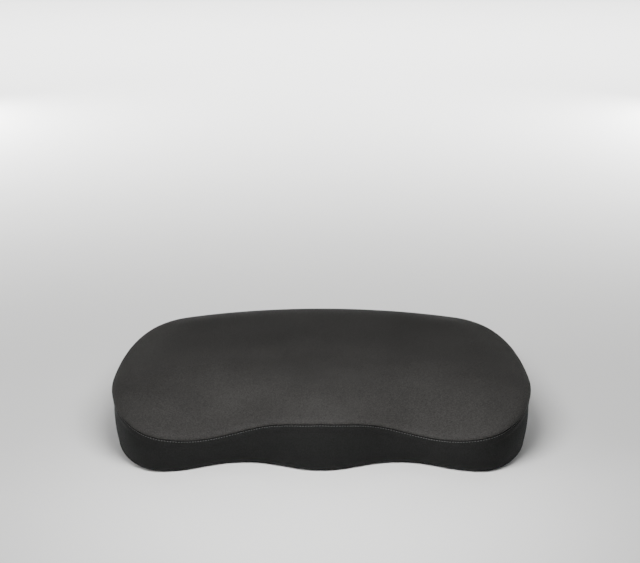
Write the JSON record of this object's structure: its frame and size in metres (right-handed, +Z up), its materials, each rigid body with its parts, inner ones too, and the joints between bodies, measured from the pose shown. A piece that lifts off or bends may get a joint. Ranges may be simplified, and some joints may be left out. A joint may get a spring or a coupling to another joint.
{
  "type": "seat cushion",
  "caption": "Contoured foam seat cushion with a front pommel, two leg channels, a fabric cover with a boxed side band, a zipped rear and a flat grip base.",
  "frame": {"origin": "centre of the flat underside, where the cushion rests on the chair seat", "axes": "+Z up through the cushion, -Y towards the front edge with the pommel, +X to the right seen from the front"},
  "size_m": [0.4586, 0.3803, 0.075],
  "materials": {
    "top_knit": "satin",
    "band_fabric": "matte",
    "grip_base": "matte",
    "liner_knit": "matte",
    "memory_foam": "matte",
    "support_foam": "matte",
    "zip_tape": "matte",
    "zip_coil": "satin",
    "zip_metal": "satin",
    "label_satin": "satin"
  },
  "bodies": {
    "root": {"base_panel": "grip_base", "front_band": "band_fabric", "rear_band_upper": "band_fabric", "rear_band_lower": "band_fabric", "liner_lower": "liner_knit", "support_foam_core": "support_foam", "zip_tape_upper": "zip_tape", "zip_tape_lower": "zip_tape", "zip_coil_upper": "zip_coil", "zip_coil_lower": "zip_coil", "zip_stop_closed_end": "zip_metal", "zip_stop_open_end": "zip_metal", "care_label": "label_satin"},
    "seat_surface": {"top_panel": "top_knit", "liner_upper": "liner_knit", "memory_foam_layer": "memory_foam"},
    "slider": {"zip_slider": "zip_metal"},
    "pull_tab": {"zip_pull": "zip_metal"}
  },
  "joints": [
    {"name": "seat_compression", "type": "slide", "parent": "root", "child": "seat_surface", "axis": [0, 0, -1], "range_m": [0, 0.012], "stiffness_N_per_m": 30000, "deforming": ["memory_foam_layer", "front_band", "rear_band_upper", "liner_lower"]},
    {"name": "zip_travel", "type": "hinge", "parent": "root", "child": "slider", "pos_m": [0, -0.195, 0.028], "axis": [0, 0, 1], "range_deg": [0, 46]},
    {"name": "pull_flip", "type": "hinge", "parent": "slider", "child": "pull_tab", "pos_m": [0.15141, 0.16126, 0.028], "axis": [0, 0, -1], "range_deg": [0, 170]}
  ]
}
